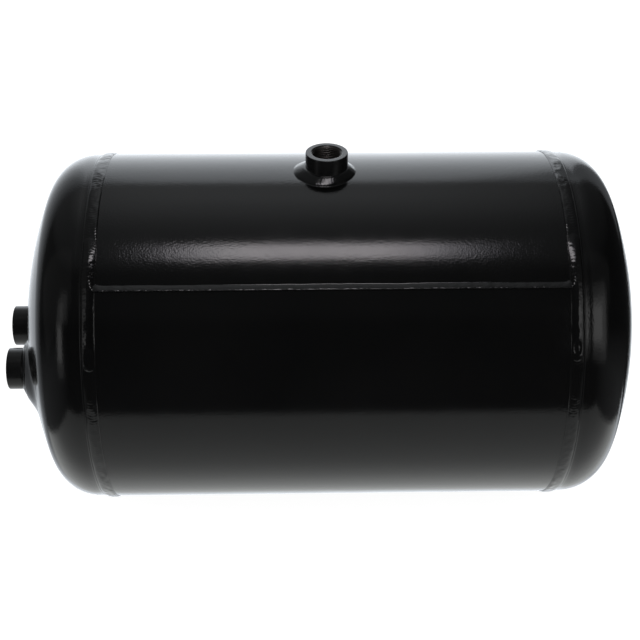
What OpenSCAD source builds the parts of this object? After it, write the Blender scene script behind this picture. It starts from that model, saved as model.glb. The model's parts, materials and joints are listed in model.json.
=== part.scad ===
// Welded steel air receiver, 25 litre class: a rolled shell, two dished heads and three
// M22 x 1.5 threaded port bosses, joined by weld beads.
// Frame: +X along the tank axis, +Z out of the shell port, origin on the axis at mid-length.
// The head with two ports is at -X.

/* [Tank] */
// Outside diameter of the shell
shell_d = 276; // [240:1:320]
// Sheet thickness of the shell and the heads
wall = 3; // [2:0.5:4]
// Length over the crowns of both heads
tank_length = 477; // [440:1:600]

/* [Heads] */
// Outside radius of the crown
crown_r = 302; // [280:1:340]
// Outside radius of the knuckle
knuckle_r = 34.5; // [28:0.5:44]
// How much smaller than the shell the head's straight flange is, on radius
flange_drop = 0.6; // [0.2:0.1:1]
// Length of the joggled lip that slides inside the shell
lip_length = 12; // [8:1:20]

/* [Welds] */
// Width of the bead round the tank
girth_w = 9.5; // [8:0.5:12]
// Height of the bead round the tank above the shell
girth_h = 1.2; // [0.8:0.1:1.6]
// Extra height where the end of the bead laps over its start
lap_h = 0.8; // [0.4:0.1:1.2]
// Elevation at which the lap starts, measured up from -Y
lap_from = 20; // [10:1:30]
// Elevation at which the lap ends
lap_to = 61; // [50:1:75]
// Width of the bead along the shell
seam_w = 4.6; // [3.6:0.1:6]
// Height of the bead along the shell
seam_h = 1.6; // [0.4:0.1:1.8]
// Elevation of the seam along the shell, measured up from -Y
seam_at = 44.2; // [40:0.2:50]
// Leg of the fillet round each boss, on the sheet
fillet_w = 7.6; // [5:0.1:9]
// Leg of the fillet round each boss, on the boss
fillet_h = 4.3; // [3:0.1:5.5]

/* [Ports] */
// Outside diameter of a boss
boss_d = 32; // [30:0.5:36]
// How far a boss stands out of the sheet
boss_stand = 15.6; // [12:0.1:20]
// How far a boss stands into the tank
boss_inside = 2.4; // [1:0.1:4]
// Major diameter of the port thread
thread_d = 22; // [18:1:24]
// Pitch of the port thread
thread_pitch = 1.5; // [1:0.25:2]
// Mouth diameter of the countersink
mouth_d = 23.5; // [22.5:0.1:26]
// Place of the shell port along the tank
shell_port_x = -2.5; // [-80:0.5:80]
// Distance of the offset port from the tank axis
offset_port_r = 60; // [50:1:66]

/* [Offset seat] */
// Radius of the flat pressed into the head under the offset port
seat_r = 24.6; // [24:0.1:28]
// Rise of the pressed flank for each millimetre of radius
seat_slope = 0.75; // [0.6:0.05:1]

/* [Hidden] */

shell_r = shell_d / 2;
bore_in = shell_r - wall;                // inside radius of the shell
flange_r = shell_r - flange_drop;        // outside radius of a head's straight flange
land_r = shell_r - flange_drop / 2;      // slightly proud land next to the bead
boss_r = boss_d / 2;
boss_slip = 0.2;                         // clearance of a boss in its hole, on radius
lip_slip = 0.2;                          // clearance of the lip in the shell, on radius
chamfer = 0.6;                           // outer edge break on a boss
over = 1;                                // how far a cut runs past what it cuts
thread_r = (thread_d - 1.0825 * thread_pitch) / 2;   // minor radius, cut as a plain bore

// Torispherical head: the crown's arc meets the knuckle's arc on the line of their centres
centre_gap = crown_r - knuckle_r;
knuckle_c = flange_r - knuckle_r;        // radius at which the knuckle's centre runs
dish_depth = crown_r - sqrt(centre_gap * centre_gap - knuckle_c * knuckle_c);
knuckle_x = tank_length / 2 - dish_depth;            // where the straight flange ends
crown_x = tank_length / 2 - crown_r;                 // centre of the crown's sphere

// Joint between shell and head
bead_in = 169;                           // shell-side toe of the bead
bead_out = bead_in + girth_w;            // head-side toe of the bead
shell_end = bead_in + 2.5;               // cut edge of the shell
lip_start = shell_end - lip_length;
joggle_in = shell_end + 1.5;             // where the joggle starts to rise
joggle_out = joggle_in + 3.5;            // where it reaches the land
land_end = bead_out + 1.1;               // step from the land to the straight flange
land_lap = 0.4;                          // how far the bead's rounded toe laps onto the land

// Joint along the shell
seam_gap = 1.6;                          // gap between the sheet's edges, filled by the bead
root_w = 2.6;                            // width of the bead's root inside the shell
root_h = 0.5;                            // height of that root

// Heights of the sheet under the ports
crown_top = tank_length / 2;
seat_x = crown_x + sqrt(crown_r * crown_r - offset_port_r * offset_port_r);
toe_r = boss_r + fillet_w;               // radius of a fillet's toe round its boss
toe_drop = crown_r - sqrt(crown_r * crown_r - toe_r * toe_r);   // fall of the crown at that toe

paint = [0.10, 0.10, 0.11];
fine = 240;                              // facets of the large rounds
mid = 96;                                // facets of the small rounds

// Turns what stands on +Z to lie along +X, or along -X for the ported end
module along_x() { rotate([0, 90, 0]) children(); }
module ported_side() { mirror([1, 0, 0]) children(); }
// Puts what stands on the X axis at the offset port's place
module at_offset_port() { translate([0, -offset_port_r, 0]) children(); }

// Half outline of a dished solid of revolution, radius along x and tank axis along y,
// shrunk by inset all round
module dish_outline(inset, from) {
    r_flange = flange_r - inset;
    r_crown = crown_r - inset;
    r_knuckle = knuckle_r - inset;
    reach = 2 * crown_r;
    tangent = atan2(knuckle_c, knuckle_x - crown_x);
    union() {
        translate([0, from]) square([r_flange, knuckle_x - from]);
        intersection() {
            translate([knuckle_c, knuckle_x]) circle(r = r_knuckle, $fn = mid);
            translate([0, knuckle_x - over]) square([2 * flange_r, knuckle_r + 2 * over]);
        }
        intersection() {
            translate([0, crown_x]) circle(r = r_crown, $fn = 3 * fine);
            polygon([[0, from], [knuckle_c, from], [knuckle_c, knuckle_x],
                     [reach * sin(tangent), crown_x + reach * cos(tangent)], [0, crown_x + reach]]);
        }
    }
}

// Solid of a head's outside or inside, from the joint to the crown
module dish_solid(inset, from) {
    along_x() rotate_extrude($fn = fine) dish_outline(inset, from);
}

// The lip, joggle and land of a head, from the lip's edge to the straight flange
module joggle_ring() {
    lip_r = bore_in - lip_slip;
    along_x() rotate_extrude($fn = fine) polygon([
        [lip_r - wall, lip_start], [lip_r, lip_start], [lip_r, joggle_in],
        [land_r, joggle_out], [land_r, land_end], [flange_r, land_end],
        [flange_r - wall, land_end], [flange_r - wall, joggle_out], [lip_r - wall, joggle_in]
    ]);
}

module head_sheet() {
    joggle_ring();
    difference() {
        dish_solid(0, land_end);
        dish_solid(wall, land_end - over);
    }
}

// Flat-topped cone on the offset port's axis: the seat's flank on the outer side of the sheet.
// It widens towards the tank for the raised side and away from it for the sunk side.
module seat_cone(top, r_top, depth) {
    at_offset_port() translate([top - depth, 0, 0]) along_x()
        cylinder(h = depth, r1 = r_top + depth / seat_slope, r2 = r_top, $fn = mid);
}
module seat_recess(bottom, r_bottom, depth) {
    at_offset_port() translate([bottom, 0, 0]) along_x()
        cylinder(h = depth, r1 = r_bottom, r2 = r_bottom + depth / seat_slope, $fn = mid);
}

// Head with the seat pressed in: raised where the crown falls away, sunk where it rises
module seated_head_sheet() {
    raise = 14;
    sink = 9;
    flank_shift = wall * (sqrt(1 + 1 / (seat_slope * seat_slope)) - 1 / seat_slope);
    joggle_ring();
    difference() {
        union() {
            dish_solid(0, land_end);
            seat_cone(seat_x, seat_r, raise);
        }
        seat_recess(seat_x, seat_r, sink);
        difference() {
            union() {
                dish_solid(wall, land_end - over);
                seat_cone(seat_x - wall, seat_r - flank_shift, raise - wall);
            }
            seat_recess(seat_x - wall, seat_r + flank_shift, sink);
        }
    }
}

// Threaded boss standing on +Z, its outer face at z = 0, bored through
module boss() {
    total = boss_stand + wall + boss_inside;
    sink_depth = mouth_d / 2 - thread_r;
    difference() {
        rotate_extrude($fn = mid) polygon([
            [0, 0], [boss_r - chamfer, 0], [boss_r, -chamfer],
            [boss_r, chamfer - total], [boss_r - chamfer, -total], [0, -total]
        ]);
        translate([0, 0, -total - over])
            cylinder(h = total + 2 * over, r = thread_r, $fn = mid);
        translate([0, 0, -sink_depth])
            cylinder(h = sink_depth + over, r1 = thread_r, r2 = mouth_d / 2 + over, $fn = mid);
    }
}

// Fillet round a boss on +Z: its sloping face runs from the boss down to the toe, and its
// blank reaches depth below that to meet a curved sheet
module fillet_solid(toe_z, depth) {
    difference() {
        rotate_extrude($fn = mid) polygon([
            [0, toe_z - depth], [toe_r, toe_z - depth], [toe_r, toe_z],
            [boss_r, toe_z + fillet_h], [0, toe_z + fillet_h]
        ]);
        translate([0, 0, toe_z - depth - over])
            cylinder(h = depth + fillet_h + 2 * over, r = boss_r, $fn = mid);
    }
}

// Points of a bead's rounded crown of height top, from the head-side toe to the shell-side toe
function crown_points(top) =
    let (half = girth_w / 2,
         arc_r = (half * half + top * top) / (2 * top),
         spread = asin(half / arc_r),
         steps = 12)
    [for (i = [0 : steps])
        let (a = spread * (1 - 2 * i / steps))
        [shell_r + top - arc_r + arc_r * cos(a), bead_in + half + arc_r * sin(a)]];

// Bead round the tank: fills the groove between shell and head and crowns over both
module girth_outline() {
    lip_r = bore_in - lip_slip;
    polygon(concat(
        [[shell_r, shell_end], [lip_r, shell_end], [lip_r, joggle_in],
         [land_r, joggle_out], [land_r, bead_out - land_lap]],
        crown_points(girth_h)));
}

// Second layer where the bead's end laps its start
module lap_outline() {
    low = crown_points(girth_h);
    high = crown_points(girth_h + lap_h);
    last = len(low) - 1;
    polygon(concat(high, [for (i = [1 : last - 1]) low[last - i]]));
}

module girth_weld() { along_x() rotate_extrude($fn = fine) girth_outline(); }
module girth_lap() {
    along_x() rotate([0, 0, 270 - lap_to])
        rotate_extrude(angle = lap_to - lap_from, $fn = fine) lap_outline();
}

// Section of the seam: the filled gap, a crown outside and a low root inside
module seam_outline() {
    cap_r = (seam_w * seam_w / 4 + seam_h * seam_h) / (2 * seam_h);
    root_r = (root_w * root_w / 4 + root_h * root_h) / (2 * root_h);
    difference() {
        translate([0, shell_r + seam_h - cap_r]) circle(r = cap_r, $fn = mid);
        circle(r = shell_r, $fn = 4 * fine);
    }
    intersection() {
        translate([-seam_gap / 2, bore_in - over]) square([seam_gap, wall + 2 * over]);
        difference() {
            circle(r = shell_r, $fn = 4 * fine);
            circle(r = bore_in, $fn = 4 * fine);
        }
    }
    intersection() {
        translate([0, bore_in - root_h + root_r]) circle(r = root_r, $fn = mid);
        circle(r = bore_in, $fn = 4 * fine);
    }
}

module shell() {
    cut_from = -shell_end - over;
    cut_length = 2 * (shell_end + over);
    color(paint) difference() {
        translate([-shell_end, 0, 0]) along_x() cylinder(h = 2 * shell_end, r = shell_r, $fn = fine);
        translate([cut_from, 0, 0]) along_x() cylinder(h = cut_length, r = bore_in, $fn = fine);
        translate([shell_port_x, 0, 0])
            cylinder(h = shell_r + over, r = boss_r + boss_slip, $fn = mid);
        rotate([90 - seam_at, 0, 0]) translate([cut_from, -seam_gap / 2, bore_in - over])
            cube([cut_length, seam_gap, wall + 2 * over]);
    }
}

module long_seam_weld() {
    color(paint) rotate([90 - seam_at, 0, 0]) translate([-bead_in, 0, 0])
        rotate([90, 0, 90]) linear_extrude(height = 2 * bead_in) seam_outline();
}

module plain_head() { color(paint) head_sheet(); }

module ported_head() {
    drill = 60;
    color(paint) ported_side() difference() {
        seated_head_sheet();
        translate([crown_top - drill, 0, 0]) along_x()
            cylinder(h = 2 * drill, r = boss_r + boss_slip, $fn = mid);
        at_offset_port() translate([crown_top - drill, 0, 0]) along_x()
            cylinder(h = 2 * drill, r = boss_r + boss_slip, $fn = mid);
    }
}

module plain_girth_weld() { color(paint) girth_weld(); }
module ported_girth_weld() { color(paint) ported_side() girth_weld(); }
module plain_girth_lap() { color(paint) girth_lap(); }
module ported_girth_lap() { color(paint) ported_side() girth_lap(); }

module shell_port_boss() {
    color(paint) translate([shell_port_x, 0, shell_r + boss_stand]) boss();
}

module shell_port_weld() {
    blank = 6;
    color(paint) difference() {
        translate([shell_port_x, 0, 0]) fillet_solid(shell_r, blank);
        translate([-shell_end, 0, 0]) along_x() cylinder(h = 2 * shell_end, r = shell_r, $fn = 4 * fine);
    }
}

module centre_port_boss() {
    color(paint) ported_side() translate([crown_top + boss_stand, 0, 0]) along_x() boss();
}

module centre_port_weld() {
    blank = 4;
    color(paint) ported_side() difference() {
        along_x() fillet_solid(crown_top - toe_drop, blank);
        dish_solid(0, land_end);
    }
}

module offset_port_boss() {
    color(paint) ported_side() at_offset_port()
        translate([seat_x + boss_stand, 0, 0]) along_x() boss();
}

module offset_port_weld() {
    color(paint) ported_side() at_offset_port() along_x() fillet_solid(seat_x, 0);
}

shell();
long_seam_weld();
ported_head();
plain_head();
ported_girth_weld();
plain_girth_weld();
ported_girth_lap();
plain_girth_lap();
shell_port_boss();
shell_port_weld();
centre_port_boss();
centre_port_weld();
offset_port_boss();
offset_port_weld();
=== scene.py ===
"""Air receiver tank: the visual model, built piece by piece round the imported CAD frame.

Each piece below replaces one CAD node and lies where that node lies. Lengths are in metres and
angles in degrees unless a name says otherwise. An elevation is measured round the tank's axis,
upwards from -Y.
"""
import json
import math

import bpy
import bmesh
import numpy as np
from mathutils import Matrix, Vector


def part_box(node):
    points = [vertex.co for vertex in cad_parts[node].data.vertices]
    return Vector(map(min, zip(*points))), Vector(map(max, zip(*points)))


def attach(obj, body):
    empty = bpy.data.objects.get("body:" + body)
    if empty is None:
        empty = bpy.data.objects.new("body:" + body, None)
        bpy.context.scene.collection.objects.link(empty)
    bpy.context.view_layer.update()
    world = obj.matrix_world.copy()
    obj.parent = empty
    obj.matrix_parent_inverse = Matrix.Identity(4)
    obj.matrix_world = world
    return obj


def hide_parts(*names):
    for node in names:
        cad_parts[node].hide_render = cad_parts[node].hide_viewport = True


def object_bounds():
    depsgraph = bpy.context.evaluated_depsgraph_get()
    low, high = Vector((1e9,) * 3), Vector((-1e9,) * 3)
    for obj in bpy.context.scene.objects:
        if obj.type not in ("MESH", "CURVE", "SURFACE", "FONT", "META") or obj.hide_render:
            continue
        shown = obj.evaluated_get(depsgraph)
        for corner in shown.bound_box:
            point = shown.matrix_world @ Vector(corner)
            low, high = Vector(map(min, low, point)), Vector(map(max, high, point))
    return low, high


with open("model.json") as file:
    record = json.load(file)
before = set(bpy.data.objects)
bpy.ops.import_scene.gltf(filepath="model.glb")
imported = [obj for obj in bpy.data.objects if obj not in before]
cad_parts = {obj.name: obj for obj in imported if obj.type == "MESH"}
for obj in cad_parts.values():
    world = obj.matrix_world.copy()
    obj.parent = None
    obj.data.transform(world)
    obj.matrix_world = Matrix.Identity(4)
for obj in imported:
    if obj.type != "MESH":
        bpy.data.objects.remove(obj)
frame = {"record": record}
CAD_BOX = [list(corner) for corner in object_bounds()]

MM = 0.001

# ---------------------------------------------------------------- sizes read from the frame
SHELL_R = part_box("shell")[1].y
SHELL_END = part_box("shell")[1].x
HEAD_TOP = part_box("plain_head")[1].x
LIP_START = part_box("plain_head")[0].x
LAND_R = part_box("plain_head")[1].y
BEAD_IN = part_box("plain_girth_weld")[0].x
BEAD_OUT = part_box("plain_girth_weld")[1].x
BEAD_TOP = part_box("plain_girth_weld")[1].y
BOSS_LOW, BOSS_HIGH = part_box("shell_port_boss")
BOSS_R = (BOSS_HIGH.x - BOSS_LOW.x) / 2
SHELL_PORT_X = (BOSS_HIGH.x + BOSS_LOW.x) / 2
BOSS_LENGTH = BOSS_HIGH.z - BOSS_LOW.z
OFFSET_LOW, OFFSET_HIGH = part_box("offset_port_boss")
OFFSET_Y = (OFFSET_HIGH.y + OFFSET_LOW.y) / 2
OFFSET_TOP = -OFFSET_LOW.x
CENTRE_TOP = -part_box("centre_port_boss")[0].x
MOUNTS = {m["name"]: m for m in frame["record"]["mounts"]}
THREAD_MINOR_R = MOUNTS["shell_port"]["dims"]["r_mm"] * MM

# ---------------------------------------------------------------- sizes shared with the CAD
WALL = 3 * MM
CROWN_R = 302 * MM
KNUCKLE_R = 34.5 * MM
FLANGE_R = SHELL_R - 0.6 * MM
LIP_R = SHELL_R - WALL - 0.2 * MM
KNUCKLE_C = FLANGE_R - KNUCKLE_R
CROWN_X = HEAD_TOP - CROWN_R
KNUCKLE_X = CROWN_X + math.sqrt((CROWN_R - KNUCKLE_R) ** 2 - KNUCKLE_C ** 2)
JOGGLE_IN = SHELL_END + 1.5 * MM
JOGGLE_OUT = JOGGLE_IN + 3.5 * MM
LAND_END = BEAD_OUT + 1.1 * MM
BOSS_STAND = 15.6 * MM
HOLE_R = BOSS_R + 0.2 * MM
SEAT_X = OFFSET_TOP - BOSS_STAND
SEAT_R = 24.6 * MM
SEAT_SLOPE = 0.75
SEAM_AT = 44.2
SEAM_GAP = 1.6 * MM
SEAM_TOE = 2.3 * MM            # where the seam's bead starts, up the shell from SEAM_AT
SEAM_WIDE = 4.5 * MM           # how wide its sloping face is
SEAM_BACK = 0.7 * MM           # how wide the steep drop beyond its ridge is
SEAM_SLOPE = 0.66              # the slope of that face near its toe
EASED_SLOPE = 0.21             # the slope that it eases off to at both its edges
APRON = 0.93                   # the share of a fillet's width where its thin edge begins
FILLET_TOE = 23.4 * MM         # radius of a fillet's toe
FILLET_TOP = 4.66 * MM         # how far a fillet climbs its boss
FILLET_PATH = 2 * math.pi * 20 * MM
THREAD_MAJOR_R = 11 * MM
THREAD_PITCH = 1.5 * MM
MOUTH_R = 11.75 * MM
CHAMFER = 0.6 * MM
ROUND = 2 * math.pi * SHELL_R  # once round the tank
CROWN_REACH = 0.12             # no crown is asked for beyond this radius
DRILL_REACH = 20 * MM


# ---------------------------------------------------------------- mesh tools
def grid_faces(rows, cols, wrap_rows=False, wrap_cols=False):
    """Quads of a rows x cols grid of points, closed on itself where asked."""
    i = np.arange(rows if wrap_rows else rows - 1)
    j = np.arange(cols if wrap_cols else cols - 1)
    a, b = np.meshgrid(i, j, indexing="ij")
    c, d = (a + 1) % rows, (b + 1) % cols
    return np.stack([a * cols + b, c * cols + b, c * cols + d, a * cols + d], -1).reshape(-1, 4)


def grid_rim(rows, cols):
    """The points round the rim of a rows x cols grid, in order."""
    return np.concatenate([np.arange(cols), np.arange(1, rows) * cols + cols - 1,
                           (rows - 1) * cols + np.arange(cols - 2, -1, -1),
                           np.arange(rows - 2, 0, -1) * cols])


def end_fans(rows, cols, pole):
    """Triangles from a pole to the first row of a tube of rings, and from the next pole to its
    last."""
    ring = np.arange(cols)
    after = (ring + 1) % cols
    last = (rows - 1) * cols
    return np.concatenate([
        np.stack([np.full(cols, pole), ring, after], -1),
        np.stack([np.full(cols, pole + 1), last + after, last + ring], -1)])


def build_mesh(name, points, quads, triangles=None):
    """A mesh from point and face arrays, with its normals turned outwards."""
    points = np.asarray(points, np.float32).reshape(-1, 3)
    triangles = np.zeros((0, 3), int) if triangles is None else triangles
    corners = np.concatenate([quads.ravel(), triangles.ravel()]).astype(np.int32)
    starts = np.concatenate([np.arange(len(quads)) * 4,
                             len(quads) * 4 + np.arange(len(triangles)) * 3]).astype(np.int32)
    mesh = bpy.data.meshes.new(name)
    mesh.vertices.add(len(points))
    mesh.vertices.foreach_set("co", points.ravel())
    mesh.loops.add(len(corners))
    mesh.loops.foreach_set("vertex_index", corners)
    mesh.polygons.add(len(starts))
    mesh.polygons.foreach_set("loop_start", starts)
    mesh.update(calc_edges=True)
    outward(mesh)
    return mesh


def outward(mesh):
    """Turns every face of a closed mesh outwards."""
    bm = bmesh.new()
    bm.from_mesh(mesh)
    bmesh.ops.recalc_face_normals(bm, faces=bm.faces)
    bm.to_mesh(mesh)
    bm.free()


def add_piece(name, mesh, node, material, sharp_over=40.0):
    """Puts a mesh into the scene as the piece that stands for a CAD node."""
    obj = bpy.data.objects.new(name, mesh)
    bpy.context.scene.collection.objects.link(obj)
    mesh.shade_smooth()
    mesh.set_sharp_from_angle(angle=math.radians(sharp_over))
    mesh.materials.clear()
    mesh.materials.append(material)
    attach(obj, "root")
    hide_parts(node)


def drill(mesh, centre, axis, radius, reach):
    """The mesh with a round hole cut through it."""
    target = bpy.data.objects.new("drill_target", mesh)
    bit_mesh = bpy.data.meshes.new("drill_bit")
    bm = bmesh.new()
    turn = Vector((0, 0, 1)).rotation_difference(Vector(axis)).to_matrix().to_4x4()
    bmesh.ops.create_cone(bm, cap_ends=True, segments=96, radius1=radius, radius2=radius,
                          depth=2 * reach, matrix=Matrix.Translation(centre) @ turn)
    bm.to_mesh(bit_mesh)
    bm.free()
    bit = bpy.data.objects.new("drill_bit", bit_mesh)
    for obj in (target, bit):
        bpy.context.scene.collection.objects.link(obj)
    cut = target.modifiers.new("cut", "BOOLEAN")
    cut.operation = "DIFFERENCE"
    cut.solver = "EXACT"
    cut.object = bit
    bpy.context.view_layer.update()
    evaluated = target.evaluated_get(bpy.context.evaluated_depsgraph_get())
    result = bpy.data.meshes.new_from_object(evaluated)
    for obj in (target, bit):
        bpy.data.objects.remove(obj)
    bpy.data.meshes.remove(bit_mesh)
    return result


# ---------------------------------------------------------------- irregularity, always seeded
def eased(f):
    return f * f * (3 - 2 * f)


def wobble(pos, spacing, total, seed):
    """Smooth noise from -1 to 1 along a closed path of length total, with a knot each spacing."""
    count = max(3, round(total / spacing))
    knots = np.random.default_rng(seed).uniform(-1, 1, count)
    at = np.asarray(pos) / total * count
    low = np.floor(at).astype(int)
    f = eased(at - low)
    return knots[low % count] * (1 - f) + knots[(low + 1) % count] * f


def wobble2(pos, across, spacing, total, spacing_across, seed):
    """The same over a surface: closed along pos and open across."""
    count = max(3, round(total / spacing))
    low_a = np.floor(across / spacing_across)
    rows = int(low_a.max() - low_a.min()) + 2
    knots = np.random.default_rng(seed).uniform(-1, 1, (count, rows))
    at = pos / total * count
    low = np.floor(at).astype(int)
    f = eased(at - low)
    g = eased(across / spacing_across - low_a)
    k = (low_a - low_a.min()).astype(int)
    a, b = low % count, (low + 1) % count
    near = knots[a, k] * (1 - f) + knots[b, k] * f
    far = knots[a, k + 1] * (1 - f) + knots[b, k + 1] * f
    return near * (1 - g) + far * g


def round_tank(x, radius, elevation):
    """Points at that place along the axis, radius and elevation."""
    e = np.radians(elevation)
    x, radius, e = np.broadcast_arrays(x, radius, e)
    return np.stack([x, -radius * np.cos(e), radius * np.sin(e)], -1)


# ---------------------------------------------------------------- shell
def shell_mesh():
    """The rolled sheet, round from one edge of the seam's gap to the other. It is faintly wavy,
    drawn in a little by the welds, and drilled for its port."""
    run = np.linspace(SEAM_GAP / 2, ROUND - SEAM_GAP / 2, 380)
    even = 0.15
    xs = np.concatenate([np.linspace(-SHELL_END, -even, 18)[:-1], np.linspace(-even, even, 76),
                         np.linspace(even, SHELL_END, 18)[1:]])
    x, run = np.meshgrid(xs, run, indexing="ij")
    turn = SEAM_AT - np.degrees(run / SHELL_R)
    fade = np.sin(math.pi * run / ROUND) ** 2
    wave = 0.035 * MM * wobble2(run, x, 70 * MM, ROUND, 0.07, 3) * fade
    drawn_in = 0.12 * MM * np.exp(-((SHELL_END - np.abs(x)) / (9 * MM)) ** 2)
    level = np.minimum(wave, 0.03 * MM) - drawn_in
    outer = round_tank(x, SHELL_R + level, turn)
    inner = round_tank(x, SHELL_R - WALL + level, turn)
    rows, cols = x.shape
    sheet = grid_faces(rows, cols)
    inside = sheet + rows * cols
    edge = grid_rim(rows, cols)
    after = np.roll(edge, -1)
    sides = np.stack([edge, after, after + rows * cols, edge + rows * cols], -1)
    points = np.concatenate([outer.reshape(-1, 3), inner.reshape(-1, 3)])
    mesh = build_mesh("shell_sheet", points, np.concatenate([sheet, inside, sides]))
    return drill(mesh, (SHELL_PORT_X, 0, SHELL_R), (0, 0, 1), HOLE_R, DRILL_REACH)


# ---------------------------------------------------------------- heads
def crown_height(rho, inset=0.0):
    return CROWN_X + np.sqrt((CROWN_R - inset) ** 2 - np.minimum(rho, CROWN_REACH) ** 2)


def soft_min(a, b, k):
    h = np.clip(0.5 + 0.5 * (b - a) / k, 0, 1)
    return b * (1 - h) + a * h - k * h * (1 - h)


def seated_height(y, z, inset=0.0):
    """Distance of the ported head's crown from mid-length, with the offset port's pressed seat."""
    blend = 2.2 * MM
    crown = crown_height(np.hypot(y, z), inset)
    flank = SEAT_SLOPE * np.maximum(0, np.hypot(y - OFFSET_Y, z) - SEAT_R)
    seat = SEAT_X - inset
    sunk = soft_min(crown, seat + flank, blend)
    return -soft_min(-sunk, -(seat - flank), blend)


def dish(inset, first_rho, step):
    """Places along the axis and radii of a head's crown, and of its knuckle."""
    tangent = math.atan2(KNUCKLE_C, KNUCKLE_X - CROWN_X)
    crown_end = (CROWN_R - inset) * math.sin(tangent)
    rho = np.linspace(first_rho, crown_end, round((crown_end - first_rho) / step) + 1)
    crown = np.stack([crown_height(rho, inset), rho], -1)
    arc = np.linspace(math.pi / 2 - tangent, 0, 40)[1:]
    knuckle = np.stack([KNUCKLE_X + (KNUCKLE_R - inset) * np.sin(arc),
                        KNUCKLE_C + (KNUCKLE_R - inset) * np.cos(arc)], -1)
    return crown, knuckle


def head_outline(first_rho, step):
    """The same from the crown outside, round the lip and back inside. With it, how many of its
    first points lie on the crown, and from which point on they lie on the crown's inside."""
    crown, knuckle = dish(0.0, first_rho, step)
    crown_in, knuckle_in = dish(WALL, first_rho, step)
    step_h = LAND_R - FLANGE_R
    lip = [[LAND_END + 0.35 * MM, FLANGE_R], [LAND_END + 0.12 * MM, FLANGE_R + 0.12 * step_h],
           [LAND_END - 0.05 * MM, FLANGE_R + 0.55 * step_h],
           [LAND_END - 0.25 * MM, LAND_R - 0.05 * step_h], [LAND_END - 0.5 * MM, LAND_R],
           [JOGGLE_OUT + 0.8 * MM, LAND_R], [JOGGLE_OUT, LAND_R - 0.3 * MM],
           [JOGGLE_IN + 0.6 * MM, LIP_R + 0.3 * MM], [JOGGLE_IN - 0.6 * MM, LIP_R],
           [LIP_START + 0.4 * MM, LIP_R], [LIP_START, LIP_R - 0.4 * MM],
           [LIP_START, LIP_R - WALL], [JOGGLE_IN, LIP_R - WALL], [JOGGLE_OUT, FLANGE_R - WALL]]
    outline = np.concatenate([crown, knuckle, lip, knuckle_in[::-1], crown_in[::-1]])
    return outline, len(crown), len(outline) - len(crown_in)


def head_mesh(ported):
    """A dished head, as one closed surface. The ported one has its centre hole and its seat."""
    around = 320
    first_rho = HOLE_R if ported else 2.5 * MM
    step = 1.25 * MM if ported else 2.5 * MM
    outline, crown_count, crown_in_from = head_outline(first_rho, step)
    turns = np.arange(around) * 360 / around
    x = np.repeat(outline[:, :1], around, 1)
    radius = np.repeat(outline[:, 1:], around, 1)
    turn = np.repeat(turns[None], len(outline), 0)
    points = round_tank(x, radius, turn)
    if ported:
        out, inn = slice(0, crown_count), slice(crown_in_from, None)
        points[out, :, 0] = seated_height(points[out, :, 1], points[out, :, 2])
        points[inn, :, 0] = seated_height(points[inn, :, 1], points[inn, :, 2], WALL)
        points[..., 0] *= -1
        mesh = build_mesh("ported_head_sheet", points,
                          grid_faces(len(outline), around, True, True))
        return drill(mesh, (-SEAT_X, OFFSET_Y, 0), (1, 0, 0), HOLE_R, DRILL_REACH)
    rows = len(outline)
    poles = np.array([[HEAD_TOP, 0, 0], [HEAD_TOP - WALL, 0, 0]])
    return build_mesh("plain_head_sheet", np.concatenate([points.reshape(-1, 3), poles]),
                      grid_faces(rows, around, False, True),
                      end_fans(rows, around, rows * around))


# ---------------------------------------------------------------- beads round the tank
BEAD_MID = (BEAD_IN + BEAD_OUT) / 2
BEAD_HALF = (BEAD_OUT - BEAD_IN) / 2
LAP_TOP = {1: 21.3, -1: 19.5}  # elevation of the lap's round nose, by side
LAP_START = 61.0               # elevation of its upper end
LAP_HALF = 4.95 * MM
LAP_TAPER = 22 * MM            # the length over which the lap thins out to its upper end
# places across the lap, from -1 on the shell's side to 1, and its slope there
LAP_SLOPES = ((-1, 0.04), (-0.95, 0.3), (-0.9, 0.8), (-0.82, 0.4), (-0.7, 0.33), (-0.5, 0.27),
              (0.1, 0.05), (0.26, -0.25), (0.75, -0.29), (0.86, -0.9), (1, -1.5))
UNDER_LAP = 0.38               # the height of the bead's low start, where the lap covers it
# height and spacing along in mm, spacing across as a share of half the bead, and seed
BEAD_LUMPS = ((0.17, 6.5, 0.9, 1), (0.08, 3.2, 0.5, 6), (0.03, 1.1, 0.3, 2))
CRATER_AT = 10 * MM            # from the tip of the lap's nose
CRATER_SIZE = (5.2 * MM, 2.7 * MM, 0.75 * MM)     # half its length, half its width and its depth


def bead_crown(t):
    """Height of a bead's crown from 0 to 1: a quick edge on the shell side, a slower one beyond."""
    shell_side = np.sqrt(np.clip(1 - np.abs(t) ** 6, 0, 1))
    head_side = np.clip(1 - np.abs(t) ** 2.3, 0, 1) ** 0.75
    return np.where(t < 0, shell_side, head_side)


def lap_rise(t):
    """How far the lapped end stands above the shell across it: it eases up from its edge, rounds
    over past its middle and falls in a long straight slope towards the head."""
    at = np.linspace(-1, 1, 401)
    slope = np.interp(at, *zip(*LAP_SLOPES))
    rise = np.cumsum((slope[1:] + slope[:-1]) / 2) * (at[1] - at[0]) * LAP_HALF
    return np.interp(t, at, np.concatenate([[0], rise]))


def bead_base(t):
    """Radius of what a bead lies on, from the shell's side to the head's land."""
    return SHELL_R + (LAND_R - SHELL_R) * eased((t + 1) / 2)


def ripples(along, t, pitch, bow):
    """Frozen ripples, bowed across the bead, from -1 to 1."""
    phase = 2 * math.pi * (along + bow * (1 - t * t)) / pitch
    return 0.8 * np.sin(phase) + 0.2 * np.sin(2 * phase + 0.9)


def low_start(side, turn):
    """The share of its height that a bead has round the tank: it starts low, under its lap."""
    into = eased(np.clip((turn - LAP_TOP[side] + 9) / 6, 0, 1))
    out = eased(np.clip((LAP_START + 4 - turn) / 6, 0, 1))
    return 1 - (1 - UNDER_LAP) * into * out


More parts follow.
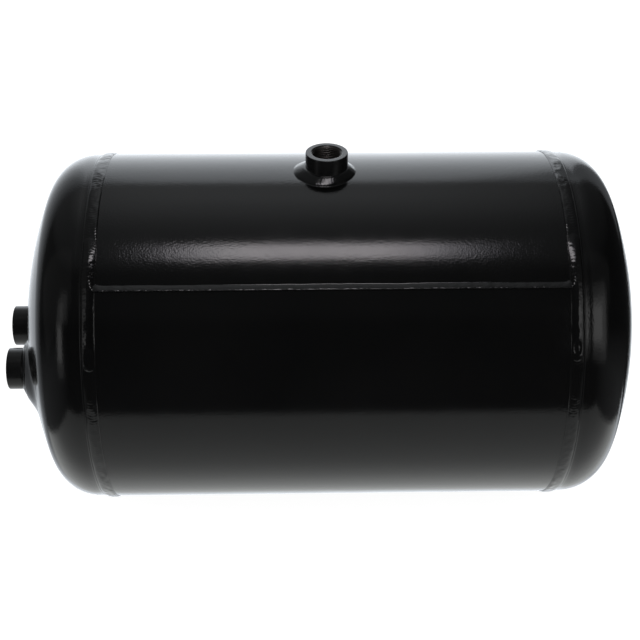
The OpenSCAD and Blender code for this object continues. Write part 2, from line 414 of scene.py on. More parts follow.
def bead_radius(along, t, seed, share):
    """Outer radius of a bead round the tank at a place along it and across it: its crown, frozen
    ripples that come and go, and lumps."""
    crown = bead_crown(t)
    pitch = ROUND / round(ROUND / (2.3 * MM))
    drift = 0.5 * MM * wobble(along, 11 * MM, ROUND, seed)
    strength = 0.04 * MM + 0.04 * MM * wobble(along, 23 * MM, ROUND, seed + 5)
    height = 0.92 * MM + strength * ripples(along + drift, t, pitch, 2.6 * MM)
    for high, long, wide, draw in BEAD_LUMPS:
        height = height + high * MM * wobble2(along, t, long * MM, ROUND, wide, seed + draw)
    return np.minimum(bead_base(t) + share * height * crown, BEAD_TOP - 0.02 * MM)


def girth_mesh(side, seed):
    """The bead that joins the shell to a head, with the root that fills the joint."""
    around = 2048
    t = np.sin(np.linspace(-math.pi / 2, math.pi / 2, 27))
    along = np.arange(around) * ROUND / around
    turn = np.degrees(along / SHELL_R)
    s, tt = np.meshgrid(along, t, indexing="ij")
    half = BEAD_HALF * (1 - 0.03 + 0.03 * wobble(s, 7 * MM, ROUND, seed + 3))
    x = BEAD_MID + half * tt
    x = x + 0.12 * MM * wobble(s, 19 * MM, ROUND, seed + 4) * (1 - tt * tt)
    share = low_start(side, turn)[:, None]
    top = round_tank(side * x, bead_radius(s, tt, seed, share), turn[:, None])
    sunk = 0.12 * MM
    root = np.array([[BEAD_OUT - 1 * MM, LAND_R - sunk], [JOGGLE_OUT, LAND_R - sunk],
                     [JOGGLE_IN, LIP_R], [SHELL_END, LIP_R], [SHELL_END, SHELL_R - 2 * sunk],
                     [BEAD_IN + 1 * MM, SHELL_R - 2 * sunk]])
    under = round_tank(side * root[None, :, 0], root[None, :, 1], turn[:, None])
    points = np.concatenate([top, under], 1)
    return build_mesh("girth_bead", points, grid_faces(around, points.shape[1], True, True))


def hook(s, across, seam):
    """Height of what the bead along the shell leaves on the lap as it runs up onto it and turns
    round the tank: a curved row of ripples that face upwards. seam is where it starts."""
    deep, wide, line = 7.5 * MM, 3.6 * MM, 0.8 * MM
    pitch, drop, high = 2.2 * MM, 0.15, 0.5 * MM
    down = (seam + deep - s) / deep
    over = (across + 4.5 * MM) / wide
    off = np.hypot(down, over)
    scale = np.hypot(deep * down, wide * over) / np.maximum(off, 0.01)
    band = np.exp(-((off - 1) * scale / line) ** 4)
    inside = np.clip(down * 6, 0, 1) * np.clip(over * 6, 0, 1)
    f = ((s - seam) / pitch + 0.5) % 1
    return high * inside * band * np.where(f > drop, 1 - f, 5.67 * f)


def lap_top(s, t, across, seam, seed):
    """Height of the lap above the shell: its rise, ripples, lumps, crater and hook."""
    sway = 0.1 * wobble(s, 5.5 * MM, ROUND, seed + 4) + 0.04 * wobble(s, 2 * MM, ROUND, seed + 5)
    inner = 1 - t * t
    height = lap_rise(t + sway * inner) + 0.012 * MM * ripples(s, t, 2.4 * MM, -2.2 * MM)
    height = height + 0.1 * MM * wobble2(s, t, 5.5 * MM, ROUND, 0.7, seed + 1) * inner
    height = height + 0.06 * MM * wobble2(s, t, 2.3 * MM, ROUND, 0.5, seed + 3) * inner
    height = height + 0.02 * MM * wobble2(s, t, 1.1 * MM, ROUND, 0.3, seed + 2)
    long, wide, deep = CRATER_SIZE
    off = np.hypot((s - CRATER_AT) / long, (across + 0.2 * MM) / wide)
    return height - deep / (1 + off ** 6) + hook(s, across, seam)


def rounded_end(share):
    """How wide a rounded end is at a share of its length, never quite nothing."""
    return np.sqrt(np.clip(1 - (1 - np.clip(share, 0, 1)) ** 2, 0.002, 1))


def closed_strip(rows, cols):
    """Faces of a strip of points with its underside, closed along both sides and at both ends."""
    faces = [grid_faces(rows, 2 * cols, False, True)]
    top = np.arange(cols - 1)
    for row in (0, rows - 1):
        first = row * 2 * cols
        faces.append(np.stack([first + top, first + top + 1, first + 2 * cols - 2 - top,
                               first + 2 * cols - 1 - top], -1))
    return np.concatenate(faces)


def lap_mesh(side, seed):
    """The end of the bead, lapped over its start, with a round nose and a crater in it."""
    nose_turn = LAP_TOP[side]
    half = LAP_HALF
    length = math.radians(LAP_START - nose_turn) * SHELL_R
    tip = (1 - np.cos(np.linspace(0, math.pi / 2, 18))) * half
    steps = round(length / (0.2 * MM))
    s = np.concatenate([tip[:-1], np.linspace(tip[-1], length - half, steps),
                        (length - tip[::-1])[1:]])
    t = np.sin(np.linspace(-math.pi / 2, math.pi / 2, 61))
    s, t = np.meshgrid(s, t, indexing="ij")
    nose, tail = rounded_end(s / half), rounded_end((length - s) / half)
    across = half * nose * tail * (1 + 0.04 * wobble(s, 5 * MM, ROUND, seed)) * t
    turn = nose_turn + np.degrees(s / SHELL_R)
    seam = math.radians(SEAM_AT - nose_turn) * SHELL_R + SEAM_TOE - SEAM_WIDE
    height = lap_top(s, t, across, seam + 0.7 * MM, seed)
    on = (across - 0.1 * MM) / BEAD_HALF
    low = bead_base(on) + 0.3 * MM * bead_crown(on)
    taper = 0.3 + 0.7 * eased(np.clip((length - s) / LAP_TAPER, 0, 1))
    over = low + np.maximum(SHELL_R + height - low, 0.05 * MM) * nose * tail ** 2 * taper
    middle = BEAD_MID - 0.1 * MM
    top = round_tank(side * (middle + across), over, turn)
    under = round_tank(side * (middle + 0.96 * across), low - 0.35 * MM, turn)
    return build_mesh("girth_lap", np.concatenate([top, under[:, ::-1]], 1), closed_strip(*s.shape))


# ---------------------------------------------------------------- bead along the shell
def seam_face(along, wide, easing, seed):
    """Heights across the seam's sloping face, from its toe to its ridge, for places along it.
    It eases off for a little at its toe, and at its ridge, where it is uneven."""
    u = np.linspace(0, 1, 41)[None] * wide[:, None]
    ridge = 0.28 * MM * (1 + 0.9 * wobble(along, 1.9 * MM, 4 * BEAD_IN, seed))[:, None]
    past_toe = eased(np.clip((u - easing[:, None]) / (0.2 * MM), 0, 1))
    to_ridge = eased(np.clip((wide[:, None] - ridge - u) / (0.25 * MM), 0, 1))
    steep = SEAM_SLOPE - 0.2 * u / wide[:, None]
    slope = EASED_SLOPE + (steep - EASED_SLOPE) * past_toe * to_ridge
    step = wide[:, None] / 40
    middle = (slope[:, 1:] + slope[:, :-1]) / 2
    return u, np.concatenate([0 * step, np.cumsum(middle * step, 1)], 1)


def seam_edges(xs, along, path, seed):
    """Where the seam's toe and ridge are round the tank from SEAM_AT, and how far its ends have
    flared up into the beads round the tank."""
    to_end = np.maximum(BEAD_IN - np.abs(xs), 0)
    flare = np.clip(1 - to_end / (5.5 * MM), 0, 1) ** 2
    toe = SEAM_TOE + 0.12 * MM * wobble(along, 5 * MM, path, seed + 2) + 1.2 * MM * flare
    toe = toe + 0.2 * MM * wobble(along, 31 * MM, path, seed + 3)
    ridge = SEAM_TOE - SEAM_WIDE + 0.1 * MM * wobble(along, 3 * MM, path, seed + 4)
    return toe, ridge, flare


def seam_mesh(seed):
    """The bead along the shell, leaning: it slopes up from its toe to a ridge and drops off
    steeply beyond. Its root fills the gap in the sheet and stands proud inside."""
    half_length = BEAD_IN + 1.2 * MM
    xs = np.linspace(-half_length, half_length, 1150)
    path = 4 * BEAD_IN
    along = xs + half_length
    toe, ridge, flare = seam_edges(xs, along, path, seed)
    back = SEAM_BACK * (1 + 0.3 * wobble(along, 2.6 * MM, path, seed + 5))
    easing = 0.06 * MM + 0.32 * MM * eased(np.clip((xs + 90 * MM) / (50 * MM), 0, 1))
    u, height = seam_face(along, toe - ridge, easing, seed)
    grain = 0.04 * MM * wobble2(along[:, None] + 0 * u, u, 2.6 * MM, path, 1.1 * MM, seed + 6)
    lumps = np.clip(wobble(along, 1.7 * MM, path, seed + 7), 0, 1)[:, None]
    rough = 0.15 * MM * lumps * np.exp(-((u - u[:, -1:]) / (0.45 * MM)) ** 2)
    taper = (1 - 0.3 * flare)[:, None]
    height = height * taper + grain * np.sin(math.pi * u / u[:, -1:]) + rough - 0.02 * MM
    fall = np.linspace(0.2, 1, 5)[None]
    drop = height[:, -1:] * np.cos(fall * math.pi / 2) - 0.05 * MM * fall
    one = np.ones((len(xs), 1))
    gap, low = SEAM_GAP / 2 * one, -WALL * one
    run = np.concatenate([toe[:, None] - u, ridge[:, None] - back[:, None] * fall, -1.5 * gap, -gap,
                          -gap, -1.5 * gap, 0 * gap, 1.5 * gap, gap, gap, 1.5 * gap], 1)
    rise = np.concatenate([height, drop, 0.05 * low, 0.05 * low, low, low - 0.1 * MM,
                           low - 0.5 * MM, low - 0.1 * MM, low, 0.05 * low, 0.05 * low], 1)
    turn = SEAM_AT + np.degrees(run / SHELL_R)
    points = round_tank(xs[:, None], SHELL_R + rise, turn)
    rows, cols = run.shape
    middles = round_tank(xs[[0, -1]], SHELL_R - 0.3 * MM, SEAM_AT)
    return build_mesh("seam_bead", np.concatenate([points.reshape(-1, 3), middles]),
                      grid_faces(rows, cols, False, True), end_fans(rows, cols, rows * cols))


# ---------------------------------------------------------------- ports
def thread_radius(turn, depth):
    """Radius of the port's wall: the thread, with its crests and roots rounded."""
    cut = 0.5 - 0.5 * np.cos(2 * math.pi * (depth / THREAD_PITCH + turn / 360))
    return THREAD_MINOR_R + (THREAD_MAJOR_R - THREAD_MINOR_R) * cut


def boss_points(around=112):
    """A threaded boss standing on +Z with its rim at z = 0, as rings of points."""
    outer = [[-BOSS_LENGTH, BOSS_R - CHAMFER], [-BOSS_LENGTH + CHAMFER, BOSS_R]]
    outer += [[z, BOSS_R] for z in np.linspace(-BOSS_LENGTH + 2 * CHAMFER, -1.6 * CHAMFER, 12)]
    soft = np.linspace(0, math.pi / 2, 7)
    outer += [[-CHAMFER * (1 - math.sin(a)), BOSS_R - CHAMFER * (1 - math.cos(a))] for a in soft]
    outer += [[0, r] for r in np.linspace(BOSS_R - 1.5 * CHAMFER, MOUTH_R + 0.35 * MM, 6)]
    outer += [[-0.05 * MM, MOUTH_R + 0.12 * MM], [-0.2 * MM, MOUTH_R - 0.1 * MM]]
    outer = np.array(outer)
    depths = np.linspace(0.35 * MM, BOSS_LENGTH - 0.3 * MM, 190)
    turn = np.arange(around) * 360 / around
    rim = np.repeat(outer[:, None, :], around, 1)
    d, a = np.meshgrid(depths, turn, indexing="ij")
    sunk = np.maximum(MOUTH_R - d, THREAD_MINOR_R)
    wall = np.maximum(thread_radius(a, d), sunk)
    fade = eased(np.clip((BOSS_LENGTH - d) / (1.2 * MM), 0, 1))
    wall = THREAD_MINOR_R * (1 - fade) + wall * fade
    bore = np.stack([-d, wall], -1)
    low = np.full((1, around, 2), [-BOSS_LENGTH, THREAD_MINOR_R + 0.3 * MM])
    zr = np.concatenate([rim, bore, low])
    angle = np.radians(turn)[None]
    return np.stack([zr[..., 1] * np.cos(angle), zr[..., 1] * np.sin(angle), zr[..., 0]], -1)


def boss_mesh(place):
    """A boss, set in place by a matrix that takes its local +Z to where it points."""
    local = boss_points()
    rows, around = local.shape[:2]
    points = moved(local, place)
    return build_mesh("boss", points, grid_faces(rows, around, True, True))


def moved(points, place):
    m = np.array(place)
    return points @ m[:3, :3].T + m[:3, 3]


def outwards(x, y, z, axis):
    """A matrix with its origin at x, y, z and its local +Z along axis."""
    turn = {"Z": Matrix.Identity(4), "-X": Matrix.Rotation(math.radians(-90), 4, "Y")}[axis]
    return Matrix.Translation((x, y, z)) @ turn


def fillet_face(s, f, seed):
    """How far a fillet's face stands off the straight line from its top to its toe, at a place
    along it and a share of its width."""
    bulge = 0.55 * MM * f * (1 - f ** 7) - 0.35 * MM * np.exp(-(f / 0.13) ** 2)
    wave = 0.02 * MM * ripples(s, 2 * f - 1, FILLET_PATH / 54, 1.4 * MM)
    wave = wave + 0.03 * MM * wobble2(s, f, 6 * MM, FILLET_PATH, 0.6, seed + 3)
    wave = wave + 0.025 * MM * wobble2(s, f, 1.5 * MM, FILLET_PATH, 0.3, seed + 4)
    fade = np.sqrt(np.clip(np.sin(math.pi * np.clip(f, 0.02, 0.98)), 0, 1))
    return bulge + wave * fade


def fillet_under(sheet, angle, toe, top):
    """A fillet's hidden side, sunk a little into the sheet and into the boss."""
    inner_r, outer_r = BOSS_R - 0.06 * MM, toe - 0.5 * MM
    under = []
    for r in (outer_r, (outer_r + inner_r) / 2, np.full(len(angle), inner_r)):
        x, y = r * np.cos(angle), r * np.sin(angle)
        under.append(np.stack([x, y, sheet(x, y) - 0.35 * MM], -1))
    cap = np.stack([inner_r * np.cos(angle), inner_r * np.sin(angle), top - 0.2 * MM], -1)
    return np.stack(under + [cap], 1)


def fillet_mesh(sheet, place, shift, seed):
    """The fillet weld round a boss. sheet gives the height of the sheet at a local place, and
    shift how far the weld leans off centre."""
    around = 540
    angle = np.arange(around) * 2 * math.pi / around
    along = angle / (2 * math.pi) * FILLET_PATH
    t = np.concatenate([np.linspace(0, APRON, 37), np.linspace(APRON, 1, 5)[1:]])
    a, t = np.meshgrid(angle, t, indexing="ij")
    toe = FILLET_TOE + 0.2 * MM * wobble(along, 9 * MM, FILLET_PATH, seed)
    toe = toe + 0.12 * MM * wobble(along, 2.2 * MM, FILLET_PATH, seed + 1)
    toe = toe + shift[0] * np.cos(angle) + shift[1] * np.sin(angle)
    top = FILLET_TOP + 0.1 * MM * wobble(along, 12 * MM, FILLET_PATH, seed + 2)
    radius = BOSS_R + (toe - BOSS_R)[:, None] * t / APRON
    x, y = radius * np.cos(a), radius * np.sin(a)
    base = sheet(x, y)
    foot = sheet(toe * np.cos(angle), toe * np.sin(angle))[:, None]
    wall_foot = sheet(BOSS_R * np.cos(angle), BOSS_R * np.sin(angle))[:, None]
    f = np.minimum(t / APRON, 1)
    line = (wall_foot + top[:, None]) * (1 - f) + foot * f
    skirt = base + 0.18 * MM * ((1 - t) / (1 - APRON)) ** 2 - 0.01 * MM
    face = line + fillet_face(a / (2 * math.pi) * FILLET_PATH, f, seed)
    height = np.maximum(np.where(t < APRON, face, skirt), base - 0.05 * MM)
    upper = np.stack([x, y, height], -1)
    points = np.concatenate([upper, fillet_under(sheet, angle, toe, height[:, 0])], 1)
    return build_mesh("fillet", moved(points, place),
                      grid_faces(around, points.shape[1], True, True))


def on_shell(x, y):
    return np.sqrt(SHELL_R ** 2 - y ** 2)


def on_crown(x, y):
    return crown_height(np.hypot(x, y))


def on_seat(x, y):
    """Local x of an offset port points along +Z of the row, and local y along +Y."""
    return seated_height(y + OFFSET_Y, x)


# ---------------------------------------------------------------- materials
STEEL = (0.12, 0.112, 0.105, 1)
STEEL_ROUGH = (0.36, 0.36, 0.36, 1)


def node_of(tree, kind, **values):
    """Adds a node, with its properties and unlinked inputs set by name."""
    node = tree.nodes.new(kind)
    for key, value in values.items():
        if hasattr(node, key):
            setattr(node, key, value)
        else:
            node.inputs[key.replace("_", " ")].default_value = value
    return node


def noise(tree, coords, scale, detail=2.0, rough=0.5):
    node = node_of(tree, "ShaderNodeTexNoise", Scale=scale, Detail=detail, Roughness=rough)
    tree.links.new(coords, node.inputs["Vector"])
    return node.outputs["Fac"]


def spread(tree, value, low, high, to_low, to_high):
    """Maps low..high of a value to a new range, clamped."""
    node = node_of(tree, "ShaderNodeMapRange", From_Min=low, From_Max=high, To_Min=to_low,
                   To_Max=to_high)
    tree.links.new(value, node.inputs["Value"])
    return node.outputs["Result"]


def bumped(tree, height, distance, strength=1.0, under=None):
    node = node_of(tree, "ShaderNodeBump", Strength=strength, Distance=distance)
    tree.links.new(height, node.inputs["Height"])
    if under is not None:
        tree.links.new(under, node.inputs["Normal"])
    return node.outputs["Normal"]


def nibs(tree, coords, scale, size):
    """Sparse dust nibs under the paint: low domes in a few cells of a cell pattern."""
    cells = node_of(tree, "ShaderNodeTexVoronoi", Scale=scale)
    tree.links.new(coords, cells.inputs["Vector"])
    dome = spread(tree, cells.outputs["Distance"], 0.0, size, 1.0, 0.0)
    split = node_of(tree, "ShaderNodeSeparateColor")
    tree.links.new(cells.outputs["Color"], split.inputs["Color"])
    few = spread(tree, split.outputs["Red"], 0.90, 0.93, 0.0, 1.0)
    both = node_of(tree, "ShaderNodeMath", operation="MULTIPLY")
    tree.links.new(dome, both.inputs[0])
    tree.links.new(few, both.inputs[1])
    return both.outputs["Value"]


def bare_thread(tree, coords, bore, shader, colour, rough):
    """Leaves the thread unpainted: oiled steel inside a radius round the port's line. bore holds
    a point on that line and the axes across it."""
    centre, across = bore
    off = node_of(tree, "ShaderNodeVectorMath", operation="SUBTRACT")
    off.inputs[1].default_value = centre
    tree.links.new(coords, off.inputs[0])
    flat = node_of(tree, "ShaderNodeVectorMath", operation="MULTIPLY")
    flat.inputs[1].default_value = across
    tree.links.new(off.outputs["Vector"], flat.inputs[0])
    length = node_of(tree, "ShaderNodeVectorMath", operation="LENGTH")
    tree.links.new(flat.outputs["Vector"], length.inputs[0])
    bare = spread(tree, length.outputs["Value"], THREAD_MAJOR_R, MOUTH_R - 0.4 * MM, 1.0, 0.0)
    for value, socket, steel in ((colour, "Base Color", STEEL),
                                 (rough, "Roughness", STEEL_ROUGH)):
        mix = node_of(tree, "ShaderNodeMixRGB")
        tree.links.new(bare, mix.inputs["Fac"])
        tree.links.new(value, mix.inputs["Color1"])
        mix.inputs["Color2"].default_value = steel
        tree.links.new(mix.outputs["Color"], shader.inputs[socket])
    tree.links.new(bare, shader.inputs["Metallic"])


def black_tone(tree, coords, albedo):
    """A black that varies a little from patch to patch."""
    patches = noise(tree, coords, 14, 3)
    tone = node_of(tree, "ShaderNodeValToRGB")
    low, high = tone.color_ramp.elements
    low.position, high.position = 0.3, 0.7
    low.color = (albedo * 0.8, albedo * 0.82, albedo * 0.86, 1)
    high.color = (albedo * 1.2, albedo * 1.2, albedo * 1.22, 1)
    tree.links.new(patches, tone.inputs["Fac"])
    return tone.outputs["Color"]


def paint(name, rough, peel, peel_scale, albedo, grit=0.0, rings=False, bore=None):
    """Black paint: a gloss coat with orange peel, dust nibs and a little variation."""
    material = bpy.data.materials.new(name)
    material.use_nodes = True
    tree = material.node_tree
    tree.nodes.clear()
    out = node_of(tree, "ShaderNodeOutputMaterial")
    shader = node_of(tree, "ShaderNodeBsdfPrincipled")
    shader.inputs["IOR"].default_value = 1.5
    tree.links.new(shader.outputs["BSDF"], out.inputs["Surface"])
    coords = node_of(tree, "ShaderNodeTexCoord").outputs["Object"]

    tone = black_tone(tree, coords, albedo)
    tree.links.new(tone, shader.inputs["Base Color"])

    haze = noise(tree, coords, 60, 4, 0.6)
    gloss = spread(tree, haze, 0.25, 0.75, rough * 0.8, rough * 1.25)
    tree.links.new(gloss, shader.inputs["Roughness"])
    if bore:
        bare_thread(tree, coords, bore, shader, tone, gloss)

    normal = bumped(tree, noise(tree, coords, 90, 2), 0.04 * MM)
    normal = bumped(tree, noise(tree, coords, peel_scale, 2, 0.4), peel, under=normal)
    normal = bumped(tree, nibs(tree, coords, 70, 0.045), 0.12 * MM, under=normal)
    if grit:
        normal = bumped(tree, noise(tree, coords, 2600, 3, 0.6), grit, under=normal)
    if rings:
        normal = turned(tree, coords, normal)
    tree.links.new(normal, shader.inputs["Normal"])
    return material


def turned(tree, coords, under):
    """Faint turning marks, as fine bands along both port directions."""
    for direction in ("X", "Z"):
        bands = node_of(tree, "ShaderNodeTexWave", wave_type="BANDS", bands_direction=direction,
                        Scale=420.0, Distortion=0.6, Detail=1.0)
        tree.links.new(coords, bands.inputs["Vector"])
        under = bumped(tree, bands.outputs["Fac"], 0.004 * MM, under=under)
    return under


# ---------------------------------------------------------------- pieces
SHELL_PAINT = paint("black_gloss_paint", 0.115, 0.062 * MM, 780, 0.0032)
WELD_PAINT = paint("black_paint_on_welds", 0.13, 0.016 * MM, 700, 0.0034, grit=0.004 * MM)

add_piece("shell_sheet", shell_mesh(), "shell", SHELL_PAINT)
add_piece("ported_head_sheet", head_mesh(True), "ported_head", SHELL_PAINT)
add_piece("plain_head_sheet", head_mesh(False), "plain_head", SHELL_PAINT)
add_piece("long_seam_bead", seam_mesh(51), "long_seam_weld", WELD_PAINT, 70)

for side, end, seed in ((-1, "ported", 11), (1, "plain", 31)):
    add_piece(f"{end}_girth_bead", girth_mesh(side, seed), f"{end}_girth_weld",
              WELD_PAINT, 70)
    add_piece(f"{end}_girth_bead_lap", lap_mesh(side, seed + 7), f"{end}_girth_lap",
              WELD_PAINT, 70)

PORTS = (
    ("shell_port", outwards(SHELL_PORT_X, 0, SHELL_R + BOSS_STAND, "Z"),
     outwards(SHELL_PORT_X, 0, 0, "Z"), on_shell, (-1.6 * MM, 0.5 * MM),
     ((SHELL_PORT_X, 0, 0), (1, 1, 0))),
    ("centre_port", outwards(-CENTRE_TOP, 0, 0, "-X"), outwards(0, 0, 0, "-X"), on_crown,
     (0.2 * MM, 0.3 * MM), ((0, 0, 0), (0, 1, 1))),
    ("offset_port", outwards(-OFFSET_TOP, OFFSET_Y, 0, "-X"), outwards(0, OFFSET_Y, 0, "-X"),
     on_seat, (0.3 * MM, -0.2 * MM), ((0, OFFSET_Y, 0), (0, 1, 1))),
)
for number, (port, rim, foot, sheet, shift, bore) in enumerate(PORTS):
    satin = paint(f"black_satin_paint_{port}", 0.22, 0.008 * MM, 900, 0.006, rings=True, bore=bore)
    add_piece(f"{port}_threaded_boss", boss_mesh(rim), f"{port}_boss", satin, 80)
    add_piece(f"{port}_fillet", fillet_mesh(sheet, foot, shift, 71 + 9 * number),
              f"{port}_weld", WELD_PAINT, 70)


# ---------------------------------------------------------------- camera
TILT = 33.2                    # how far the shell port leans back from straight up in the view
CAMERA_AT = (-0.0258, -1.0371, 0.0066)
YAW, PITCH, ROLL = 1.03, 0.24, 0.51
LENS = 71.44


def tilted(v):
    """A direction or place given square to the view, in the row frame."""
    c, s = math.cos(math.radians(TILT)), math.sin(math.radians(TILT))
    return Vector((v[0], v[1] * c + v[2] * s, -v[1] * s + v[2] * c))


def make_camera():
    yaw, pitch, roll = (math.radians(a) for a in (YAW, PITCH, ROLL))
    ahead = Vector((math.sin(yaw) * math.cos(pitch), math.cos(yaw) * math.cos(pitch),
                    -math.sin(pitch)))
    right = Vector((math.cos(yaw), -math.sin(yaw), 0))
    down = ahead.cross(right)
    right, down = (math.cos(roll) * right + math.sin(roll) * down,
                   -math.sin(roll) * right + math.cos(roll) * down)
    columns = [tilted(v) for v in (right, -down, -ahead)]
    data = bpy.data.cameras.new("camera")
    data.lens = LENS
    camera = bpy.data.objects.new("camera", data)
    bpy.context.scene.collection.objects.link(camera)
    place = Matrix(columns).transposed().to_4x4()
    place.translation = tilted(CAMERA_AT)
    camera.matrix_world = place
    bpy.context.scene.camera = camera


# ---------------------------------------------------------------- floor, cards and lights
WALL_TINT = (0.95, 1.0, 1.055, 1)
TABLE_TINT = (0.975, 1.0, 0.99, 1)
ROOM_TINT = (0.97, 1.0, 1.03, 1)
WHITE = (1, 1, 1, 1)
STREAK = (0.0, -0.126, 0.056)  # the middle of the long highlight, square to the view
# name, x, width, height, power and tint
STREAK_LIGHTS = (
    ("soft_box_core", -0.005, 0.3, 0.2, 0.33, (1.05, 1.0, 0.98)),
    ("soft_box_mid", -0.002, 0.4, 0.195, 0.55, (1.05, 1.0, 1.03)),
    ("soft_box_edge", 0.01, 0.5, 0.185, 0.34, (1.03, 1.0, 1.12)),
)
LEFT, RIGHT = -0.215, 0.215    # where along the tank the heads' lights aim
# name, aim, azimuth, elevation, width, height and power
HEAD_LIGHTS = (
    ("left_strip_core", LEFT, -41, -10, 0.18, 0.34, 0.125),
    ("left_strip_edge", LEFT, -41, -8, 0.25, 0.76, 0.14),
    ("left_strip_top", LEFT, -31, 10, 0.3, 0.3, 0.057),
    ("left_fill", LEFT, -55, 18, 1.5, 0.75, 0.18),
    ("right_fill", RIGHT, 38, 25, 0.8, 0.45, 0.055),
    ("right_strip_core", RIGHT, 24, -1, 0.38, 0.36, 0.22),
    ("right_strip_mid", RIGHT, 29, -1, 0.54, 0.54, 0.3),
    ("right_strip_edge", RIGHT, 31, -1, 0.6, 0.8, 0.34),
)


def card(name, corners, material, floor=False):
    """A flat stage card. Cards other than the floor show only in reflections."""
    mesh = bpy.data.meshes.new(name)
    mesh.from_pydata([tuple(c) for c in corners], [], [(0, 1, 2, 3)])
    mesh.materials.append(material)
    obj = bpy.data.objects.new(name, mesh)
    bpy.context.scene.collection.objects.link(obj)
    obj.visible_glossy = not floor
    for kind in ("camera", "diffuse", "shadow", "transmission", "volume_scatter"):
        setattr(obj, f"visible_{kind}", floor)
    return obj


def floor_material():
    material = bpy.data.materials.new("pale_floor")
    material.use_nodes = True
    shader = material.node_tree.nodes["Principled BSDF"]
    shader.inputs["Base Color"].default_value = (0.9, 0.9, 0.9, 1)
    shader.inputs["Roughness"].default_value = 1.0
    shader.inputs["Specular IOR Level"].default_value = 0.0
    shader.inputs["Emission Color"].default_value = WHITE
    shader.inputs["Emission Strength"].default_value = 0.92
    return material


def ramp_of(tree, value, stops):
    """A number that runs through stops along a value. Each stop is a place and a level."""
    top = max(level for _, level in stops)
    ramp = node_of(tree, "ShaderNodeValToRGB")
    while len(ramp.color_ramp.elements) < len(stops):
        ramp.color_ramp.elements.new(0.5)
    for element, (at, level) in zip(ramp.color_ramp.elements, stops):
        element.position = at
        element.color = (level / top, level / top, level / top, 1)
    tree.links.new(value, ramp.inputs["Fac"])
    scaled = node_of(tree, "ShaderNodeMath", operation="MULTIPLY")
    scaled.inputs[1].default_value = top
    tree.links.new(ramp.outputs["Color"], scaled.inputs[0])
    return scaled.outputs["Value"]


def joined(tree, operation, a, b):
    node = node_of(tree, "ShaderNodeMath", operation=operation)
    tree.links.new(a, node.inputs[0])
    tree.links.new(b, node.inputs[1])
    return node.outputs["Value"]


def glow(name, up_stops, side_stops, tint):
    """An emitter whose brightness runs through stops up the card and from side to side."""
    material = bpy.data.materials.new(name)
    material.use_nodes = True
    tree = material.node_tree
    tree.nodes.clear()
    coords = node_of(tree, "ShaderNodeTexCoord")
    split = node_of(tree, "ShaderNodeSeparateXYZ")
    tree.links.new(coords.outputs["UV"], split.inputs["Vector"])
    level = joined(tree, "MULTIPLY", ramp_of(tree, split.outputs["Y"], up_stops),
                   ramp_of(tree, split.outputs["X"], side_stops))
    shader = node_of(tree, "ShaderNodeEmission")
    shader.inputs["Color"].default_value = tint
    tree.links.new(level, shader.inputs["Strength"])
    out = node_of(tree, "ShaderNodeOutputMaterial")
    tree.links.new(shader.outputs["Emission"], out.inputs["Surface"])
    return material


def unwrapped(obj):
    """Lays the card's own UVs: Y runs from the first two corners to the last two."""
    layer = obj.data.uv_layers.new(name="card")
    for loop, uv in zip(layer.data, ((0, 0), (1, 0), (1, 1), (0, 1))):
        loop.uv = uv


def lit_card(name, corners, up_stops, side_stops=((0.0, 1.0), (1.0, 1.0)), tint=WALL_TINT):
    """A glowing stage card with its corners given square to the view."""
    material = glow(f"{name}_glow", up_stops, side_stops, tint)
    unwrapped(card(f"{name}_card", [tilted(v) for v in corners], material))


def upright(left, right, y, low, high):
    return ((left, y, low), (right, y, low), (right, y, high), (left, y, high))


def white_sweep():
    """The white table under the tank and the white wall behind it, as the paint mirrors them."""
    drop, front, back, high = 0.6, 0.43, 0.87, 3.55
    near, far_left, far_right = 0.56, -1.27, 1.4
    lit_card("table", ((-near, -front, -drop), (near, -front, -drop), (far_right, back, -drop),
                       (far_left, back, -drop)),
             ((0.0, 0.4), (0.35, 0.63), (0.55, 0.93), (1.0, 1.05)), ((0.3, 0.98), (0.7, 1.06)),
             TABLE_TINT)
    left, right, edge = -2.6, 0.66, 1.25
    sides = tuple(((x - left) / (right - left), level) for x, level in
                  ((-2.6, 0.08), (-1.94, 0.14), (-1.23, 0.25), (-0.935, 0.34), (-0.69, 0.54),
                   (-0.5, 0.85), (-0.3, 0.95), (0.1, 1.0), (0.455, 0.88), (0.6, 0.6), (0.65, 0.35)))
    lit_card("wall", upright(left, right, back, -drop, high),
             ((0.0, 1.3), (0.29, 1.9), (0.55, 1.52), (1.0, 1.2)), sides)
    skirt, shelf = -0.3, 0.35
    lit_card("low_wall", upright(right, edge, back, -drop, skirt), ((0.0, 1.15), (1.0, 0.95)))
    lit_card("side_wall", upright(right, edge, back, shelf, high),
             ((0.0, 0.15), (0.5, 0.35), (1.0, 0.65)))


def area(name, place, aim, width, height, power, tint=WHITE[:3]):
    """A soft box that faces aim. Both are given square to the view."""
    data = bpy.data.lights.new(name, "AREA")
    data.shape = "RECTANGLE"
    data.size, data.size_y = width, height
    data.energy = power
    data.color = tint
    light = bpy.data.objects.new(name, data)
    bpy.context.scene.collection.objects.link(light)
    at, to = tilted(place), tilted(aim)
    back = (at - to).normalized()
    side = (tilted((1, 0, 0)) - back * back.x).normalized()
    place = Matrix((side, back.cross(side), back)).transposed().to_4x4()
    place.translation = at
    light.matrix_world = place
    light.visible_camera = False
    light.visible_diffuse = False


def towards(azimuth, elevation, distance, start=(0, 0, 0)):
    """A place seen from start at that azimuth, 0 being the camera's side, and elevation."""
    a, e = math.radians(azimuth), math.radians(elevation)
    return (start[0] + distance * math.sin(a) * math.cos(e),
            start[1] - distance * math.cos(a) * math.cos(e), start[2] + distance * math.sin(e))


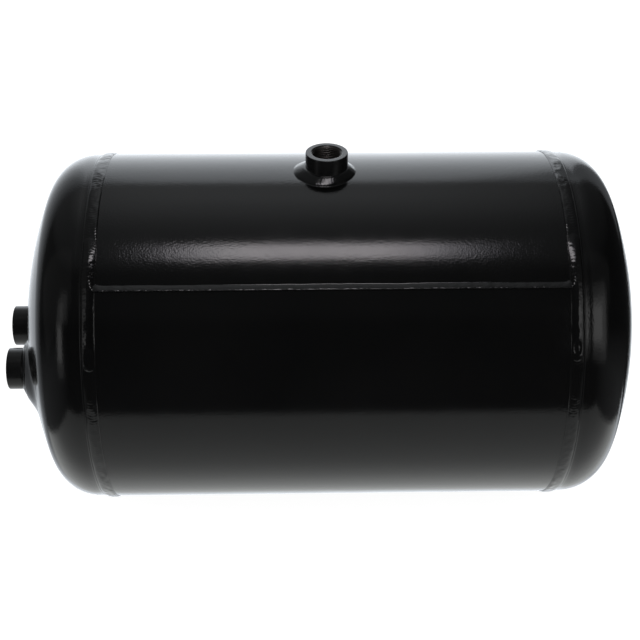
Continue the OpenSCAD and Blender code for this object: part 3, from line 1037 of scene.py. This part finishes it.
def component(tree, vector, axis):
    """How far a direction points along an axis given square to the view."""
    node = node_of(tree, "ShaderNodeVectorMath", operation="DOT_PRODUCT")
    node.inputs[1].default_value = tilted(axis)
    tree.links.new(vector, node.inputs[0])
    return node.outputs["Value"]


def ceiling_level(tree, vector):
    """The dim room overhead and round about: brightest straight up and over the middle, with a
    little more on the left than on the right."""
    up = component(tree, vector, (0, 0, 1))
    side = node_of(tree, "ShaderNodeMath", operation="ABSOLUTE")
    tree.links.new(component(tree, vector, (1, 0, 0)), side.inputs[0])
    over = ramp_of(tree, up, ((0.0, 0.03), (0.1, 0.05), (0.54, 0.06), (0.64, 0.14), (0.88, 0.22),
                              (0.943, 0.31), (0.975, 0.4), (0.99, 0.43), (1.0, 0.5)))
    over = joined(tree, "MULTIPLY", over, ramp_of(tree, side.outputs["Value"],
                                                  ((0.1, 1.0), (0.24, 0.68), (0.5, 0.6))))
    lean = spread(tree, component(tree, vector, (1, 0, 0)), -0.9, 0.9, 1.5, 0.5)
    over = joined(tree, "MULTIPLY", over, lean)
    under = ramp_of(tree, spread(tree, up, -0.35, -0.05, 1.0, 0.0),
                    ((0.0, 0.0), (1.0, 1.0)))
    around = ramp_of(tree, side.outputs["Value"], ((0.45, 0.0), (0.8, 0.1), (1.0, 0.12)))
    return joined(tree, "ADD", over, joined(tree, "MULTIPLY", under, around))


def make_world():
    """Even light on what is matt, a dim room in reflections and a pale sky past the floor."""
    world = bpy.data.worlds.new("studio")
    bpy.context.scene.world = world
    world.use_nodes = True
    world.cycles.sampling_method = "NONE"
    tree = world.node_tree
    tree.nodes.clear()
    coords = node_of(tree, "ShaderNodeTexCoord")
    path = node_of(tree, "ShaderNodeLightPath")
    room = node_of(tree, "ShaderNodeBackground")
    room.inputs["Color"].default_value = ROOM_TINT
    tree.links.new(ceiling_level(tree, coords.outputs["Generated"]), room.inputs["Strength"])
    even = node_of(tree, "ShaderNodeBackground", Strength=0.35)
    even.inputs["Color"].default_value = WHITE
    sky = node_of(tree, "ShaderNodeBackground", Strength=0.98)
    sky.inputs["Color"].default_value = WHITE
    soft = node_of(tree, "ShaderNodeMixShader")
    tree.links.new(path.outputs["Is Glossy Ray"], soft.inputs["Fac"])
    tree.links.new(even.outputs["Background"], soft.inputs[1])
    tree.links.new(room.outputs["Background"], soft.inputs[2])
    seen = node_of(tree, "ShaderNodeMixShader")
    tree.links.new(path.outputs["Is Camera Ray"], seen.inputs["Fac"])
    tree.links.new(soft.outputs["Shader"], seen.inputs[1])
    tree.links.new(sky.outputs["Background"], seen.inputs[2])
    out = node_of(tree, "ShaderNodeOutputWorld")
    tree.links.new(seen.outputs["Shader"], out.inputs["Surface"])


def make_stage():
    """The floor, the white sweep, and soft boxes: over the streak and beside both heads."""
    floor_z = CAD_BOX[0][2]
    wide = 12.0
    card("floor", ((-wide, -wide, floor_z), (wide, -wide, floor_z), (wide, wide, floor_z),
                   (-wide, wide, floor_z)), floor_material(), floor=True)
    white_sweep()
    above = towards(0, 46.8, 1.0, STREAK)
    for name, x, width, height, power, tint in STREAK_LIGHTS:
        area(name, (x, above[1], above[2]), STREAK, width, height, power, tint)
    for name, x, azimuth, elevation, width, height, power in HEAD_LIGHTS:
        aim = (x, 0, 0)
        area(name, towards(azimuth, elevation, 1.0, aim), aim, width, height, power)


make_camera()
make_world()
make_stage()
bpy.context.scene.view_settings.view_transform = "Standard"
